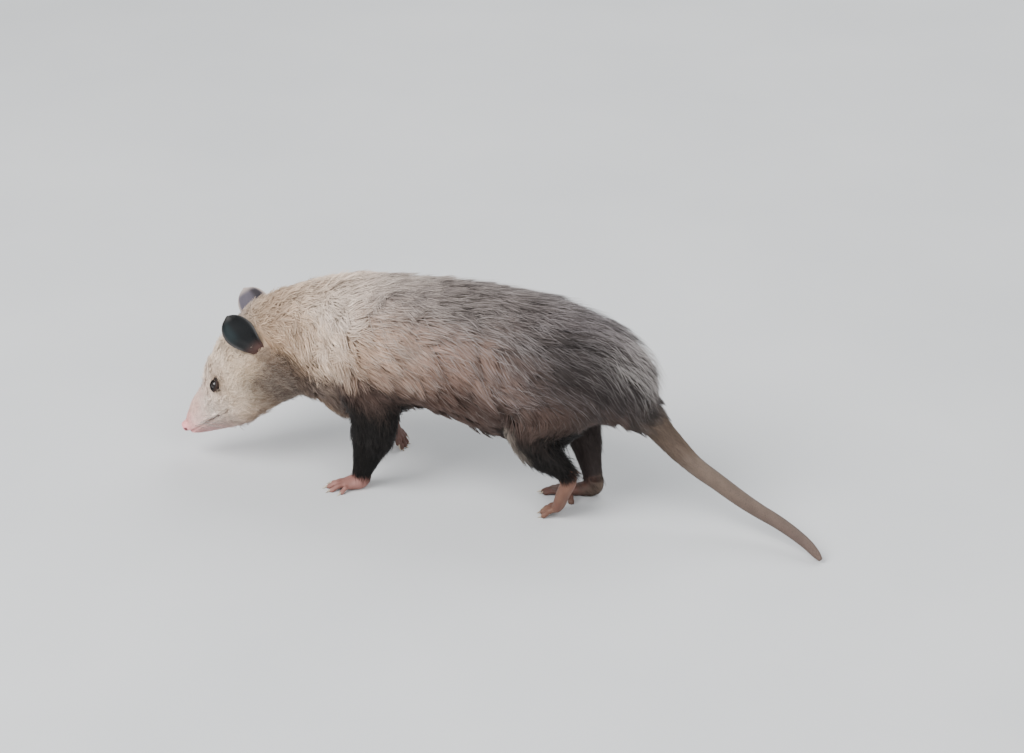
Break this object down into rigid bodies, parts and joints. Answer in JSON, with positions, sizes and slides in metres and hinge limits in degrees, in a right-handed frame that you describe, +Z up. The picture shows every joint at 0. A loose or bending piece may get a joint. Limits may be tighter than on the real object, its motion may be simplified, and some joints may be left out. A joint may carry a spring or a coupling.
{
  "type": "opossum",
  "caption": "Life-size walking opossum with a shaggy coat, cupped bare ears, a pointed muzzle and a long bare tail.",
  "frame": {"origin": "centre of the bounding box's base, on the floor under the middle of the animal", "axes": "+X from nose to tail, +Y to the animal's right side, +Z up; the floor is z = 0"},
  "size_m": [0.621, 0.1291, 0.1989],
  "materials": {
    "face_fur": "short cream fur",
    "coat_pale": "long cream guard hair, dull",
    "coat_grey": "long grey guard hair, dull",
    "dark_fur": "short dark fur, dull",
    "pink_skin": "bare pink skin, soft sheen",
    "ear_skin": "thin bare skin, soft sheen",
    "tail_skin": "fine scaly skin, soft sheen",
    "eye_black": "wet, glossy"
  },
  "bodies": {
    "root": {"head": "face_fur", "lower_jaw": "face_fur", "ear_left": "ear_skin", "ear_right": "ear_skin", "eye_left": "eye_black", "eye_right": "eye_black", "neck": "coat_pale", "torso_front": "coat_pale", "torso_rear": "coat_grey", "foreleg_left_upper_arm": "coat_pale", "foreleg_left_forearm": "dark_fur", "forepaw_left": "pink_skin", "foreleg_right_upper_arm": "coat_pale", "foreleg_right_forearm": "dark_fur", "forepaw_right": "pink_skin", "hindleg_left_thigh": "coat_grey", "hindleg_left_shank": "dark_fur", "hindfoot_left": "pink_skin", "hindleg_right_thigh": "coat_grey", "hindleg_right_shank": "dark_fur", "hindfoot_right": "pink_skin", "tail_1": "tail_skin", "tail_2": "tail_skin", "tail_3": "tail_skin", "tail_4": "tail_skin"}
  },
  "joints": []
}
